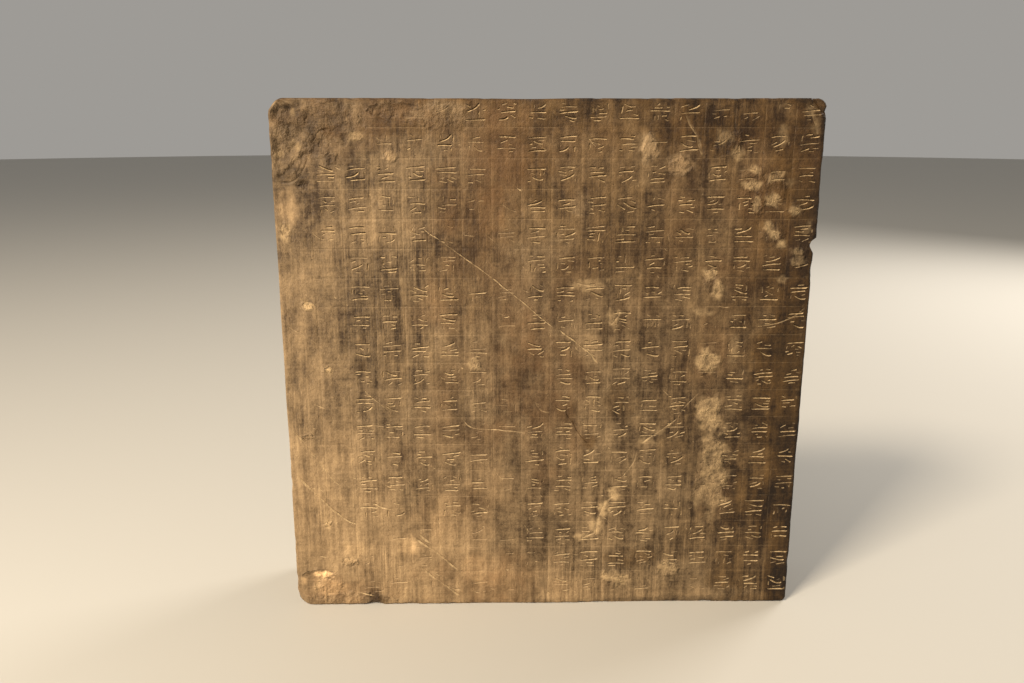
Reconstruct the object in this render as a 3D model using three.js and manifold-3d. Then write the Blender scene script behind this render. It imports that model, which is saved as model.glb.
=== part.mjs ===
// A nearly square inscribed stone slab that stands upright on its lower edge.
// Millimetres, +Z up. The origin is the middle of the underside's footprint and the
// inscribed face looks towards -Y. The slab is one stone: a thick plate with worn arrises,
// shell-shaped flakes, dents and long scratches on its face, and a back that is furrowed
// inside a flat dressed margin. The shallow inscription itself is finer than this solid.
import * as THREE from 'three';
import { mergeVertices } from 'three/addons/utils/BufferGeometryUtils.js';
import Module from 'manifold-3d';

// Driving dimensions.
const WIDTH = 490;
const HEIGHT = 489;
const THICKNESS = 90;
const HALF_WIDTH = WIDTH / 2;
const FRONT = -THICKNESS / 2;
const BACK = THICKNESS / 2;

// The outline, seen from the front.
const ARRIS = 1.8;
const EDGE_STEP = 15;
const EDGE_WANDER = 0.9;
const LOWER_LEFT_RADIUS = 8;
const LOWER_RIGHT_RADIUS = 5;
const UPPER_RIGHT_RADIUS = 9;
const UPPER_LEFT_CUT = { across: 8, down: 11 };
const RIGHT_STEP = { setBack: 2, from: 352, to: 366 };

// Damage on the face: x, z of the middle, half width, half height and depth.
const FACE_LOSSES = [
  { name: 'worn upper left corner', x: -233, z: 455, across: 30, high: 44, depth: 1.8 },
  { name: 'worn top left band', x: -178, z: 466, across: 42, high: 20, depth: 1.0 },
  { name: 'shell flake under the top edge', x: -128, z: 478, across: 28, high: 13, depth: 2.2 },
  { name: 'bright hollow, lower left', x: -221, z: 33, across: 20, high: 9, depth: 2.4 },
  { name: 'rough lower left corner', x: -208, z: 10, across: 44, high: 18, depth: 1.6 },
  { name: 'flaked foot', x: -48, z: 16, across: 42, high: 42, depth: 1.4 },
  { name: 'smooth crescent along the foot', x: 112, z: 9, across: 74, high: 8, depth: 1.3 },
  { name: 'pit column, top', x: 151, z: 324, across: 6, high: 13, depth: 1.2 },
  { name: 'pit column, upper', x: 149, z: 253, across: 11, high: 12, depth: 1.5 },
  { name: 'pit column, middle', x: 155, z: 204, across: 12, high: 15, depth: 1.5 },
  { name: 'pit column, foot', x: 160, z: 130, across: 12, high: 40, depth: 1.4 },
  { name: 'pale flake, left', x: 89, z: 443, across: 11, high: 10, depth: 0.9 },
  { name: 'pale flake, right', x: 111, z: 428, across: 12, high: 11, depth: 0.9 },
  { name: 'round dent', x: -191, z: 50, across: 6, high: 5, depth: 1.6 },
  { name: 'ding, highest', x: -236, z: 374, across: 4, high: 6, depth: 1.2 },
  { name: 'ding, upper', x: -217, z: 305, across: 4, high: 4, depth: 1.0 },
  { name: 'ding, middle', x: -202, z: 243, across: 4, high: 4, depth: 1.0 },
  { name: 'ding, lowest', x: -211, z: 89, across: 5, high: 5, depth: 1.4 },
];

// Pieces broken off the edges: the place, the outward direction, half lengths and depth.
const EDGE_BREAKS = [
  { at: [HALF_WIDTH, FRONT + 10, 360], out: [1, -0.3, 0], along: 6, across: 26, depth: 3.4 },
  { at: [-169, FRONT, 0], out: [0, -0.8, -0.6], along: 8, across: 6, depth: 3.6 },
  { at: [236, FRONT, 480], out: [0.6, -0.7, 0.5], along: 14, across: 8, depth: 3.0 },
  { at: [-HALF_WIDTH, FRONT, 28], out: [-0.7, -0.7, 0], along: 9, across: 5, depth: 2.2 },
  { at: [-HALF_WIDTH, FRONT, 434], out: [-0.7, -0.7, 0], along: 12, across: 5, depth: 2.0 },
  { at: [-150, FRONT, HEIGHT], out: [0, -0.7, 0.7], along: 16, across: 5, depth: 1.8 },
  { at: [-226, BACK, HEIGHT - 6], out: [-0.5, 0.6, 0.6], along: 30, across: 22, depth: 9 },
  { at: [120, BACK, HEIGHT], out: [0, 0.6, 0.8], along: 36, across: 14, depth: 6 },
  { at: [HALF_WIDTH, BACK, 210], out: [0.8, 0.6, 0], along: 28, across: 13, depth: 6 },
  { at: [-HALF_WIDTH, BACK, 96], out: [-0.8, 0.6, 0], along: 24, across: 12, depth: 5 },
];

// Long scratches on the face, as points across (x) and up (z).
const SCRATCH_WIDTH = 2.2;
const SCRATCH_DEPTH = 0.7;
const SCRATCHES = [
  [[-113, 376], [-52, 332], [-18, 304], [22, 274], [48, 252]],
  [[-240, 186], [-200, 146], [-163, 109], [-148, 102]],
  [[-237, 137], [-219, 120], [-184, 91]],
  [[-128, 76], [-111, 63], [-85, 41]],
  [[-80, 196], [-52, 185], [0, 178]],
];

// Small chips along every arris.
const CHIP_SEED = 71;
const FRONT_CHIP_SPACING = 36;
const BACK_CHIP_SPACING = 62;
const CHIP = { shortest: 2.5, longest: 7, shallowest: 0.5, deepest: 1.3 };

// The back: a flat margin, and furrows of a point chisel inside it.
const MARGIN = 32;
const FURROW_SPACING = 19;
const FURROW_ANGLE = THREE.MathUtils.degToRad(62);
const FURROW = { halfLength: 300, halfWidth: 15, depth: 2.2 };

// How finely the shell-shaped losses are faceted: sides round, and rings from rim to rim.
const LARGE = { sides: 16, rings: 12 };
const SMALL = { sides: 7, rings: 6 };
const LONG = { sides: 12, rings: 6 };

const wasm = await Module();
wasm.setup();

/** Turns a closed three.js geometry into a manifold solid. */
function solidFrom(geometry) {
  const bare = geometry.clone();
  bare.deleteAttribute('normal');
  bare.deleteAttribute('uv');
  const merged = mergeVertices(bare, 1e-4);
  return new wasm.Manifold(new wasm.Mesh({
    numProp: 3,
    vertProperties: new Float32Array(merged.attributes.position.array),
    triVerts: new Uint32Array(merged.index.array),
  }));
}

/** Turns a manifold solid back into a three.js geometry. */
function geometryFrom(solid) {
  const mesh = solid.getMesh();
  const geometry = new THREE.BufferGeometry();
  geometry.setAttribute('position', new THREE.BufferAttribute(mesh.vertProperties, 3));
  geometry.setIndex(new THREE.BufferAttribute(mesh.triVerts, 1));
  geometry.computeVertexNormals();
  return geometry;
}

/** Repeatable random numbers from 0 to 1. */
function randomFrom(seed) {
  let state = seed;
  return () => {
    state = (state * 16807) % 2147483647;
    return state / 2147483647;
  };
}

/** A straight edge from a to b that dips inward by a slow, small wander, none at its ends. */
function wornEdge(a, b, inward, phase) {
  const length = Math.hypot(b[0] - a[0], b[1] - a[1]);
  const count = Math.round(length / EDGE_STEP);
  const points = [];
  for (let i = 0; i <= count; i += 1) {
    const s = i / count;
    const fade = Math.sin(Math.PI * s) ** 2;
    const dip = fade * EDGE_WANDER * (0.5 + 0.5 * Math.sin(9 * s + phase) * Math.cos(23 * s));
    points.push([
      a[0] + (b[0] - a[0]) * s + inward[0] * dip,
      a[1] + (b[1] - a[1]) * s + inward[1] * dip,
    ]);
  }
  return points;
}

/** Points of a quarter round with the given middle and radius, from one angle to the next. */
function corner(x, z, radius, startDegrees) {
  const points = [];
  for (let i = 1; i < 4; i += 1) {
    const angle = THREE.MathUtils.degToRad(startDegrees + 22.5 * i);
    points.push([x + radius * Math.cos(angle), z + radius * Math.sin(angle)]);
  }
  return points;
}

/** The slab's outline, seen from the front, anticlockwise from the lower left. */
function slabOutline() {
  const lowerRight = HALF_WIDTH - RIGHT_STEP.setBack;
  const r0 = LOWER_LEFT_RADIUS;
  const r1 = LOWER_RIGHT_RADIUS;
  const r2 = UPPER_RIGHT_RADIUS;
  const cut = UPPER_LEFT_CUT;
  const points = [
    [-HALF_WIDTH + r0, 0],
    [lowerRight - r1, 0],
    ...corner(lowerRight - r1, r1, r1, 270),
    ...wornEdge([lowerRight, r1], [lowerRight, RIGHT_STEP.from], [-1, 0], 0.4),
    ...wornEdge([HALF_WIDTH, RIGHT_STEP.to], [HALF_WIDTH, HEIGHT - r2], [-1, 0], 2.1),
    ...corner(HALF_WIDTH - r2, HEIGHT - r2, r2, 0),
    ...wornEdge([HALF_WIDTH - r2, HEIGHT], [-HALF_WIDTH + cut.across, HEIGHT], [0, -1], 3.3),
    ...wornEdge([-HALF_WIDTH, HEIGHT - cut.down], [-HALF_WIDTH, r0], [1, 0], 5.2),
    ...corner(-HALF_WIDTH + r0, r0, r0, 180),
  ];
  return new THREE.Shape(points.map(([x, z]) => new THREE.Vector2(x, z)));
}

/** The whole slab before any damage: the outline through the thickness, arrises softened. */
function wholeSlab() {
  const geometry = new THREE.ExtrudeGeometry(slabOutline(), {
    depth: THICKNESS - 2 * ARRIS,
    bevelEnabled: true,
    bevelThickness: ARRIS,
    bevelSize: ARRIS,
    bevelOffset: -ARRIS,
    bevelSegments: 2,
  });
  geometry.translate(0, 0, ARRIS - THICKNESS / 2);
  geometry.rotateX(Math.PI / 2);
  return solidFrom(geometry);
}

/**
 * A shell-shaped loss: an egg whose middle stands outside the surface by its depth, so that
 * it meets the surface at a slope. long is the direction of its half length.
 */
function shell(at, out, long, halfLong, halfAcross, depth, facets) {
  const rim = Math.sqrt(1 - 0.25);
  const geometry = new THREE.SphereGeometry(1, facets.sides, facets.rings);
  geometry.scale(halfLong / rim, halfAcross / rim, 2 * depth);
  const outward = new THREE.Vector3(...out).normalize();
  const across = new THREE.Vector3().crossVectors(outward, new THREE.Vector3(...long)).normalize();
  const lengthwise = new THREE.Vector3().crossVectors(across, outward);
  const turn = new THREE.Matrix4().makeBasis(lengthwise, across, outward);
  geometry.applyMatrix4(turn);
  const middle = new THREE.Vector3(...at).addScaledVector(outward, depth);
  geometry.translate(middle.x, middle.y, middle.z);
  return solidFrom(geometry);
}

/** Every loss on the inscribed face. */
function faceLosses() {
  return FACE_LOSSES.map((loss) => shell(
    [loss.x, FRONT, loss.z], [0, -1, 0], [1, 0, 0], loss.across, loss.high, loss.depth,
    loss.across > 10 ? LARGE : SMALL,
  ));
}

/** Every larger piece broken off an edge. Its half length runs along that edge. */
function edgeBreaks() {
  return EDGE_BREAKS.map((loss) => {
    const onUpright = Math.abs(loss.at[0]) === HALF_WIDTH;
    const long = onUpright ? [0, 0, 1] : [1, 0, 0];
    return shell(loss.at, loss.out, long, loss.along, loss.across, loss.depth, LARGE);
  });
}

/** Small chips along the arrises of one face (side is -1 at the front, 1 at the back). */
function arrisChips(side, spacing, seed) {
  const random = randomFrom(seed);
  const y = side * BACK;
  const inset = ARRIS * 0.4;
  const right = HALF_WIDTH - RIGHT_STEP.setBack;
  const runs = [
    { from: [-HALF_WIDTH, 20], to: [-HALF_WIDTH, HEIGHT - 24], out: [-1, 0] },
    { from: [right, 16], to: [right, RIGHT_STEP.from - 8], out: [1, 0] },
    { from: [HALF_WIDTH, RIGHT_STEP.to + 8], to: [HALF_WIDTH, HEIGHT - 24], out: [1, 0] },
    { from: [-HALF_WIDTH + 24, HEIGHT], to: [HALF_WIDTH - 24, HEIGHT], out: [0, 1] },
    { from: [-HALF_WIDTH + 24, 0], to: [HALF_WIDTH - 24, 0], out: [0, -1] },
  ];
  const chips = [];
  for (const run of runs) {
    const length = Math.hypot(run.to[0] - run.from[0], run.to[1] - run.from[1]);
    const count = Math.floor(length / spacing);
    const long = [(run.to[0] - run.from[0]) / length, 0, (run.to[1] - run.from[1]) / length];
    for (let i = 0; i < count; i += 1) {
      const along = (i + 0.1 + 0.8 * random()) * spacing;
      const half = CHIP.shortest + (CHIP.longest - CHIP.shortest) * random() ** 2;
      const depth = CHIP.shallowest + (CHIP.deepest - CHIP.shallowest) * random();
      const lean = 0.6 + 0.8 * random();
      const at = [
        run.from[0] + long[0] * along - run.out[0] * inset,
        y - side * inset,
        run.from[1] + long[2] * along - run.out[1] * inset,
      ];
      const out = [run.out[0], side * lean, run.out[1]];
      chips.push(shell(at, out, long, half, 0.6 * half, depth, SMALL));
    }
  }
  return chips;
}

/** A scratch: a V section carried along a smooth path that lies on the face. */
function scratch(points) {
  const path = new THREE.CatmullRomCurve3(points.map(([x, z]) => new THREE.Vector3(x, FRONT, z)));
  const normalIsDepth = new THREE.Shape([
    new THREE.Vector2(-SCRATCH_DEPTH, 0),
    new THREE.Vector2(SCRATCH_DEPTH, -SCRATCH_WIDTH),
    new THREE.Vector2(SCRATCH_DEPTH, SCRATCH_WIDTH),
  ]);
  const mirrored = new THREE.Shape(normalIsDepth.getPoints().map((p) => new THREE.Vector2(-p.x, p.y)));
  const steps = points.length * 3;
  const frame = path.computeFrenetFrames(steps, false);
  const section = frame.normals[0].y < 0 ? normalIsDepth : mirrored;
  return solidFrom(new THREE.ExtrudeGeometry(section, { steps, extrudePath: path }));
}

/** The furrows on the back, kept inside the flat margin. */
function backFurrows() {
  const panel = new THREE.BoxGeometry(WIDTH - 2 * MARGIN, THICKNESS, HEIGHT - 2 * MARGIN);
  panel.translate(0, BACK, HEIGHT / 2);
  const long = [Math.cos(FURROW_ANGLE), 0, Math.sin(FURROW_ANGLE)];
  const across = [-long[2], 0, long[0]];
  const reach = (WIDTH * Math.abs(across[0]) + HEIGHT * Math.abs(across[2])) / 2 - MARGIN;
  const count = Math.floor((2 * reach) / FURROW_SPACING);
  const furrows = [];
  for (let i = 0; i < count; i += 1) {
    const offset = (i + 0.5) * FURROW_SPACING - reach;
    const slide = 40 * Math.sin(2.4 * i);
    const at = [
      across[0] * offset + long[0] * slide,
      BACK,
      HEIGHT / 2 + across[2] * offset + long[2] * slide,
    ];
    const depth = FURROW.depth * (0.8 + 0.2 * Math.cos(1.7 * i));
    furrows.push(shell(at, [0, 1, 0], long, FURROW.halfLength, FURROW.halfWidth, depth, LONG));
  }
  return wasm.Manifold.union(furrows).intersect(solidFrom(panel));
}

/** The slab with all that has been lost from it. */
function inscribedSlab() {
  const losses = wasm.Manifold.union([
    ...faceLosses(),
    ...edgeBreaks(),
    ...arrisChips(-1, FRONT_CHIP_SPACING, CHIP_SEED),
    ...arrisChips(1, BACK_CHIP_SPACING, CHIP_SEED + 1),
    ...SCRATCHES.map(scratch),
    backFurrows(),
  ]);
  return geometryFrom(wholeSlab().subtract(losses));
}

const stone = new THREE.MeshStandardMaterial({ color: 0x6b5a41, roughness: 0.72, metalness: 0 });
const tablet = new THREE.Mesh(inscribedSlab(), stone);
tablet.name = 'tablet';

const part = new THREE.Group();
part.add(tablet);

export default part;
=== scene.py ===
"""A thick, nearly square inscribed stone slab that stands upright on its lower edge.

The slab is one stone. Its face carries a ruled grid of shallow strokes, worn away in places,
with shell-shaped flakes, pitted runs, long scratches and soft-edged stains. The sides are
dressed with a chisel and the back is furrowed inside a flat margin.

Lengths in the layout below are millimetres, x from the middle and z up from the underside, as
seen from the front. The mesh is written in metres.
"""
import math

import bpy
import numpy as np
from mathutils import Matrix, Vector
from mathutils.geometry import delaunay_2d_cdt


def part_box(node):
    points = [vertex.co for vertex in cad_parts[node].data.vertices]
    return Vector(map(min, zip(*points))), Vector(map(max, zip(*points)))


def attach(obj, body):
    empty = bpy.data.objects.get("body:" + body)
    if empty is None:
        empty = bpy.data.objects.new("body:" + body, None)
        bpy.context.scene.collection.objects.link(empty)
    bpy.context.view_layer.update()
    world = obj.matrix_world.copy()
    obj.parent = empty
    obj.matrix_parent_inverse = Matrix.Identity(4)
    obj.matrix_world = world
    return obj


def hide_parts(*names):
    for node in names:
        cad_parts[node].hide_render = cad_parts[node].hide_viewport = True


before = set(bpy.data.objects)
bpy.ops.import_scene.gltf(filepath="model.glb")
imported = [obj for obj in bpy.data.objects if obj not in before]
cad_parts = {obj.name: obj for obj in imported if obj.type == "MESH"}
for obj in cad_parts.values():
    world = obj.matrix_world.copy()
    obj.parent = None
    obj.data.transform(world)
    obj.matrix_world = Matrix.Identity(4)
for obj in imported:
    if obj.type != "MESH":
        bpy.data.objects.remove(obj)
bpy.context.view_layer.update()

bl_info = {
    "name": "Inscribed Stone Slab",
    "version": (1, 0, 0),
    "blender": (4, 5, 0),
    "location": "3D View > Sidebar > Slab",
    "description": "Builds a worn inscribed stone slab and a plain stage for it",
    "category": "Add Mesh",
}

LOW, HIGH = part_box("tablet")
MM = 0.001

# ------------------------------------------------------------------ the slab's outline
EDGE_WANDER = 0.9
LOWER_LEFT_RADIUS = 8.0
LOWER_RIGHT_RADIUS = 5.0
UPPER_RIGHT_RADIUS = 9.0
UPPER_LEFT_CUT = (8.0, 11.0)
RIGHT_SET_BACK = 2.0
RIGHT_STEP = (352.0, 366.0)
# The distance between points of the outline, and how many rows the sides have.
RING_STEP = 3.5
WALL_ROWS = 19
# Small chips along the arrises: -1 at the face or 1 at the back, and their spacing.
CHIP_SPACING = ((-1, 12.0), (1, 17.0))

# ------------------------------------------------------------------ the carved grid
# From the right side and the top to the first cell's middle, and to the first ruled line.
FIRST_CELL = (13.1, 11.7)
FIRST_RULE = (26.5, 25.1)
RULES = 17
# A column is wider than a row by this much.
COLUMN_EXTRA = 0.05
SHORT_COLUMN = 16
SHORT_COLUMN_ROWS = (0, 2, 3, 4)
CELL_HALF = 8.8
STROKE_GAP = 2.3
STROKE_TRIES = 14
NICKS = 150
PIT_TRIES = 4200
# How far from the edge the lines, the face's loose points and the back's loose points stop.
LINE_CLEARANCE = 3.4
GRID_CLEARANCE = 3.6
BACK_CLEARANCE = 4.2
BACK_GRAIN = 4.8

# ------------------------------------------------------------------ losses on the face
# Each: x, z, half width, half height, depth, how rough its floor is (0 smooth, 1 broken).
SHELLS = (
    (-135, 478, 24, 9, 2.8, 0.25),
    (-222, 33, 16, 6.5, 2.6, 0.05),
    (-214, 20, 15, 8, 0.7, 0.05),
    (-192, 46, 8, 5.5, 0.9, 0.1),
    (-190, 460, 9, 6, 2.2, 0.3),
    (-198, 448, 6, 8, 1.3, 0.3),
    (-191, 436, 5, 6, 0.9, 0.3),
    (-236, 374, 4, 6, 1.2, 0.5),
    (-219, 305, 5, 4, 1.3, 0.4),
    (-203, 243, 4.5, 4, 1.0, 0.5),
    (-226, 177, 6, 3, 0.9, 0.2),
    (-212, 87, 4, 3, 0.8, 0.1),
    (-66, 249, 4.5, 6, 0.8, 0.3),
    (90, 447, 9, 11, 0.7, 0.2),
    (117, 431, 12, 8.5, 0.8, 0.1),
    (-170, 456, 6, 4, 1.1, 0.3),
    (-140, 440, 6, 6, 0.6, 0.3),
)

# Broken, grainy areas: x, z, half width, half height, depth and how pitted they are.
BROKEN = (
    (-228, 452, 22, 36, 2.4, 0.0),
    (-194, 468, 30, 17, 1.4, 0.05),
    (-96, 474, 24, 10, 0.6, 0.0),
    (-196, 7, 36, 6, 0.8, 0.0),
    (153, 326, 7, 12, 0.9, 0.3),
    (152, 251, 11, 12, 1.0, 0.3),
    (157, 201, 12, 15, 1.1, 0.3),
    (161, 140, 14, 50, 1.0, 0.35),
    (162, 448, 11, 11, 0.6, 0.2),
    (183, 417, 10, 11, 0.9, 0.4),
    (189, 397, 5, 8, 0.8, 0.4),
    (203, 411, 9, 15, 0.9, 0.4),
    (224, 391, 6, 6, 0.7, 0.3),
    (205, 371, 9, 9, 0.8, 0.3),
    (229, 349, 6, 9, 0.8, 0.3),
    (70, 28, 12, 8, 0.7, 0.2),
    (122, 38, 10, 9, 0.6, 0.2),
)

# ------------------------------------------------------------------ scratches and veins
# Each: the points along it, half width, depth, how pale it is.
SCRATCHES = (
    (((-113, 376), (-85, 356), (-52, 332), (-18, 304), (0, 289), (6, 284)), 0.85, 0.45, 1.1),
    (((12, 281), (22, 274), (34, 264), (42, 258), (48, 249)), 1.3, 0.8, 1.3),
    (((-241, 287), (-231, 281), (-217, 272), (-212, 268)), 0.9, 0.35, 0.6),
    (((-172, 225), (-162, 215), (-154, 208), (-148, 203)), 0.9, 0.5, 0.9),
    (((-241, 185), (-232, 175), (-223, 160), (-218, 155), (-207, 137), (-197, 127)), 1.1, 0.5, 0.9),
    (((-167, 110), (-158, 105), (-148, 102)), 1.0, 0.5, 0.9),
    (((-237, 137), (-215, 112), (-196, 94), (-183, 87)), 1.5, 0.8, 1.1),
    (((-128, 73), (-105, 55), (-85, 37)), 1.4, 0.8, 1.0),
    (((-124, 77), (-118, 72), (-111, 66)), 1.5, 0.7, 1.0),
    (((-122, 41), (-104, 25), (-84, 9)), 1.3, 0.6, 0.9),
    (((-80, 196), (-74, 189), (-64, 185), (-38, 183), (-14, 180)), 0.8, 0.35, 0.9),
    (((-187, 15), (-177, 12), (-168, 9)), 1.0, 0.5, 1.0),
)
VEINS = (
    (((146, 221), (138, 213), (130, 203), (126, 195)), 0.9, 0.35, 0.5),
    (((108, 225), (114, 220), (119, 215)), 0.9, 0.35, 0.6),
    (((126, 195), (116, 187), (108, 181), (101, 176), (92, 169)), 1.3, 0.5, 0.9),
    (((88, 163), (85, 150), (79, 141), (74, 134)), 0.9, 0.35, 0.7),
    (((68, 117), (58, 107), (52, 91), (49, 78), (40, 73), (31, 66)), 1.9, 0.5, 0.8),
    (((59, 91), (66, 84), (73, 77), (78, 74)), 0.9, 0.3, 0.5),
    (((120, 477), (125, 467), (132, 456), (135, 445), (140, 436)), 1.3, 0.5, 0.75),
    (((226, 484), (232, 477), (236, 467), (238, 458)), 1.4, 0.3, 0.6),
    (((196, 383), (201, 376), (208, 368), (215, 359)), 1.6, 0.6, 0.9),
    (((241, 303), (228, 293), (214, 287), (199, 285)), 0.9, 0.35, 0.6),
    (((24, 326), (34, 324), (46, 322), (54, 323)), 1.1, 0.4, 0.5),
    (((55, 292), (60, 287), (66, 294), (67, 300)), 1.1, 0.4, 0.5),
    (((-12, 214), (-4, 203), (6, 201)), 0.9, 0.3, 0.45),
)
# Dark cracks and steps: the points along each, half width and depth.
CRACKS = (
    (((20, 210), (20, 199), (26, 191), (31, 181), (38, 172), (43, 167)), 1.0, 0.8),
    (((-213, 446), (-214, 433), (-223, 420), (-232, 416), (-241, 419)), 1.6, 0.8),
    (((-212, 460), (-208, 452), (-201, 461), (-190, 463)), 1.2, 0.7),
)

# ------------------------------------------------------------------ stains, tones and painted light
# Each: x, z, half width, half height, amount.
# LIGHT and DARK are partly the stone's own lighter and darker places and partly painted light: the large
# LIGHT patches at the lower left paint the light brighter there.
LIGHT = (
    (-225, 270, 30, 150, 0.45),
    (-205, 90, 55, 90, 0.85),
    (-225, 440, 24, 46, 0.25),
    (-120, 60, 100, 60, 0.8),
    (-60, 14, 90, 26, 0.85),
    (20, 12, 70, 20, 0.65),
    (-128, 64, 10, 12, 1.0),
    (-8, 348, 30, 16, 0.25),
    (60, 90, 60, 60, 0.3),
    (110, 10, 78, 8, 0.6),
    (96, 30, 50, 18, 0.3),
    (26, 128, 20, 60, 0.3),
    (-162, 380, 30, 20, 0.3),
    (-232, 395, 14, 20, 0.6),
)
# The first two DARK patches, along the right side, are partly dark stone and partly painted shade where
# the light falls off. The one at (-168, 6) is painted shade in the notch under the lower edge.
DARK = (
    (243, 250, 42, 340, 1.6),
    (212, 190, 26, 150, 0.75),
    (-9, 425, 18, 46, 0.7),
    (150, 250, 56, 330, 0.3),
    (40, 400, 130, 110, 0.4),
    (20, 470, 110, 24, 0.7),
    (150, 465, 70, 30, 1.0),
    (215, 420, 44, 80, 0.9),
    (60, 375, 50, 60, 0.5),
    (120, 370, 44, 70, 0.45),
    (186, 330, 24, 60, 0.5),
    (40, 171, 7, 7, 0.9),
    (22, 200, 10, 14, 0.5),
    (84, 48, 34, 12, 0.7),
    (190, 120, 16, 60, 0.8),
    (190, 40, 30, 50, 0.6),
    (-209, 473, 30, 12, 0.4),
    (-190, 462, 9, 6, 1.0),
    (-228, 421, 14, 6, 0.5),
    (70, 205, 16, 20, 0.4),
    (-140, 270, 30, 70, 0.2),
    (130, 180, 12, 50, 0.35),
    (-6, 80, 40, 14, 0.4),
    (155, 75, 26, 22, 0.4),
    (-90, 250, 24, 60, 0.2),
    (-168, 6, 9, 5, 1.0),
    (-173, 270, 6, 8, 0.5),
    (-173, 247, 5, 8, 0.6),
    (66, 212, 12, 14, 0.5),
    (-133, 463, 30, 7, 0.7),
)
# Worn, pale places with a clear edge. The first, on the smooth spall at the lower left, is a painted
# highlight.
PALE = (
    (-219, 33, 9, 4.0, 1.3),
    (-214, 20, 16, 9, 0.55),
    (-238, 26, 4, 4, 0.9),
    (90, 447, 10, 11, 0.7),
    (117, 431, 12, 8.5, 0.9),
    (-140, 440, 6, 6, 0.7),
    (30, 396, 9, 12, 0.35),
    (-58, 40, 24, 14, 0.45),
    (-133, 61, 10, 10, 0.6),
    (-186, 60, 12, 8, 0.35),
    (-191, 49, 6, 3, 0.5),
    (40, 268, 10, 8, 0.35),
    (-232, 398, 10, 16, 0.4),
    (90, 190, 10, 8, 0.5),
    (98, 166, 8, 6, 0.4),
)
BROWN = (
    (-59, 422, 34, 66, 0.8),
    (-22, 232, 48, 78, 0.8),
    (-128, 474, 34, 14, 0.7),
    (-95, 140, 40, 60, 0.3),
    (-190, 466, 50, 26, 0.45),
    (-50, 22, 44, 24, 0.7),
    (8, 440, 40, 36, 0.3),
    (120, 405, 20, 60, 0.35),
    (-80, 320, 30, 50, 0.45),
    (204, 420, 34, 40, 0.45),
    (-210, 14, 44, 14, 0.5),
    (95, 300, 60, 40, 0.25),
    (20, 330, 40, 30, 0.3),
    (155, 280, 18, 80, 0.4),
    (168, 110, 12, 22, 0.7),
    (210, 400, 44, 70, 0.5),
    (-140, 474, 60, 20, 0.5),
)
BUFF = (
    (150, 333, 6, 5, 1.0),
    (157, 318, 4.5, 10, 0.8),
    (152, 251, 10, 11, 0.9),
    (157, 200, 11, 14, 1.0),
    (163, 138, 13, 48, 0.7),
    (185, 427, 4, 4, 0.8),
    (177, 414, 4, 3, 0.9),
    (185, 413, 6, 5, 0.9),
    (188, 397, 3.5, 6, 1.0),
    (205, 421, 7, 5, 0.8),
    (202, 401, 7, 5, 0.9),
    (217, 416, 5, 2.5, 0.5),
    (224, 391, 5, 4.5, 0.9),
    (168, 441, 6, 6, 0.65),
    (156, 456, 8, 6, 0.4),
    (200, 377, 4, 5, 0.9),
    (207, 370, 5, 4, 1.0),
    (214, 360, 4, 4, 0.9),
    (227, 354, 5, 3.5, 0.9),
    (230, 345, 5, 4, 1.0),
    (216, 329, 2.5, 2.5, 0.8),
    (235, 374, 4, 5, 0.5),
    (175, 266, 4, 12, 0.45),
    (142, 298, 9, 3, 0.5),
    (-170, 456, 7, 4, 0.55),
    (-236, 372, 4, 7, 0.7),
    (-219, 305, 5, 4, 0.8),
    (-203, 243, 4, 3, 0.8),
    (-222, 449, 5, 4, 0.6),
    (-237, 442, 4, 4, 0.6),
    (-224, 477, 3, 4, 0.6),
    (-66, 249, 5, 6, 0.7),
    (65, 30, 8, 6, 0.6),
    (79, 24, 7, 6, 0.7),
    (122, 38, 9, 8, 0.6),
    (208, 458, 4, 9, 0.4),
    (-212, 87, 3, 3, 0.7),
    (67, 117, 4, 7, 0.9),
    (58, 102, 5, 10, 0.8),
    (50, 84, 6, 9, 0.8),
    (38, 72, 8, 4, 0.7),
    (97, 172, 7, 3, 0.6),
    (108, 181, 5, 3, 0.6),
    (62, 292, 6, 8, 0.5),
    (40, 324, 16, 5, 0.5),
    (231, 479, 4, 6, 0.5),
    (237, 466, 2.5, 8, 0.5),
)

# Where the carving is worn away: x, z, half width, half height, amount.
WORN = (
    (-66, 300, 16, 170, 0.45),
    (-38, 300, 15, 120, 0.8),
    (-38, 120, 15, 120, 0.75),
    (-20, 215, 40, 26, 0.9),
    (-130, 50, 90, 46, 0.75),
    (-50, 40, 50, 50, 0.8),
    (40, 20, 60, 16, 0.6),
    (-150, 470, 60, 22, 0.7),
    (120, 20, 60, 14, 0.6),
    (152, 230, 18, 120, 0.75),
    (190, 470, 60, 16, 0.5),
    (-95, 350, 14, 20, 0.3),
    (89, 443, 11, 12, 0.9),
    (118, 427, 13, 9, 0.9),
)

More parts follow.
